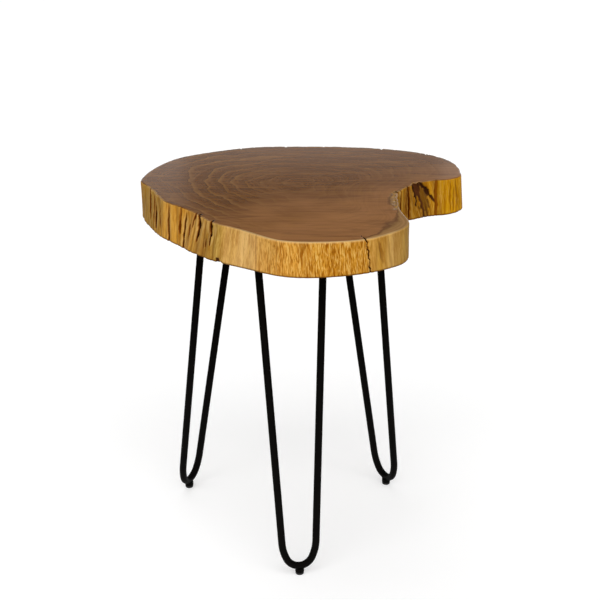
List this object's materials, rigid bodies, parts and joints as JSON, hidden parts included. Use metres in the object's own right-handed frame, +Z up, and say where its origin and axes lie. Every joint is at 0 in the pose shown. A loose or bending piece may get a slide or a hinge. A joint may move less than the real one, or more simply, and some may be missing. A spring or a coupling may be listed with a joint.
{
  "type": "live edge side table",
  "caption": "Side table with a natural-edged slice of trunk as its top, on black steel hairpin legs with screw-in levelling feet.",
  "frame": {"origin": "on the floor, under the middle of the table's plan", "axes": "+Z up through the tabletop; -Y towards the front leg and the picture's camera; +X to the right, towards the side lobe of the slab"},
  "size_m": [0.5312, 0.4778, 0.58],
  "materials": {
    "wood_slab": "sanded end grain and peeled edge under satin varnish",
    "powder_coat": "satin black powder coat",
    "zinc_screw": "bright zinc plate",
    "zinc_stud": "bright zinc plate",
    "nylon_pad": "moulded black nylon"
  },
  "bodies": {
    "table": {"live_edge_slab": "wood_slab", "front_hairpin_rod": "powder_coat", "front_mounting_plate": "powder_coat", "front_plate_screws": "zinc_screw", "front_foot_boss": "powder_coat", "right_hairpin_rod": "powder_coat", "right_mounting_plate": "powder_coat", "right_plate_screws": "zinc_screw", "right_foot_boss": "powder_coat", "left_hairpin_rod": "powder_coat", "left_mounting_plate": "powder_coat", "left_plate_screws": "zinc_screw", "left_foot_boss": "powder_coat"},
    "front_pad": {"front_glide_pad": "nylon_pad"},
    "front_stud": {"front_levelling_stud": "zinc_stud"},
    "right_pad": {"right_glide_pad": "nylon_pad"},
    "right_stud": {"right_levelling_stud": "zinc_stud"},
    "left_pad": {"left_glide_pad": "nylon_pad"},
    "left_stud": {"left_levelling_stud": "zinc_stud"}
  },
  "joints": [
    {"name": "front_foot_extend", "type": "slide", "parent": "table", "child": "front_pad", "axis": [0, 0, -1], "range_m": [0, 0.006]},
    {"name": "front_stud_turn", "type": "hinge", "parent": "front_pad", "child": "front_stud", "pos_m": [-0.00506, -0.21746, 0.01], "axis": [0, 0, -1], "range_deg": [0, 2160]},
    {"name": "right_foot_extend", "type": "slide", "parent": "table", "child": "right_pad", "axis": [0, 0, -1], "range_m": [0, 0.006]},
    {"name": "right_stud_turn", "type": "hinge", "parent": "right_pad", "child": "right_stud", "pos_m": [0.14748, 0.09459, 0.01], "axis": [0, 0, -1], "range_deg": [0, 2160]},
    {"name": "left_foot_extend", "type": "slide", "parent": "table", "child": "left_pad", "axis": [0, 0, -1], "range_m": [0, 0.006]},
    {"name": "left_stud_turn", "type": "hinge", "parent": "left_pad", "child": "left_stud", "pos_m": [-0.19947, 0.08248, 0.01], "axis": [0, 0, -1], "range_deg": [0, 2160]}
  ],
  "couplings": [
    {"joint": "front_stud_turn", "follows": "front_foot_extend", "rad_per_m": 6283.2},
    {"joint": "right_stud_turn", "follows": "right_foot_extend", "rad_per_m": 6283.2},
    {"joint": "left_stud_turn", "follows": "left_foot_extend", "rad_per_m": 6283.2}
  ]
}
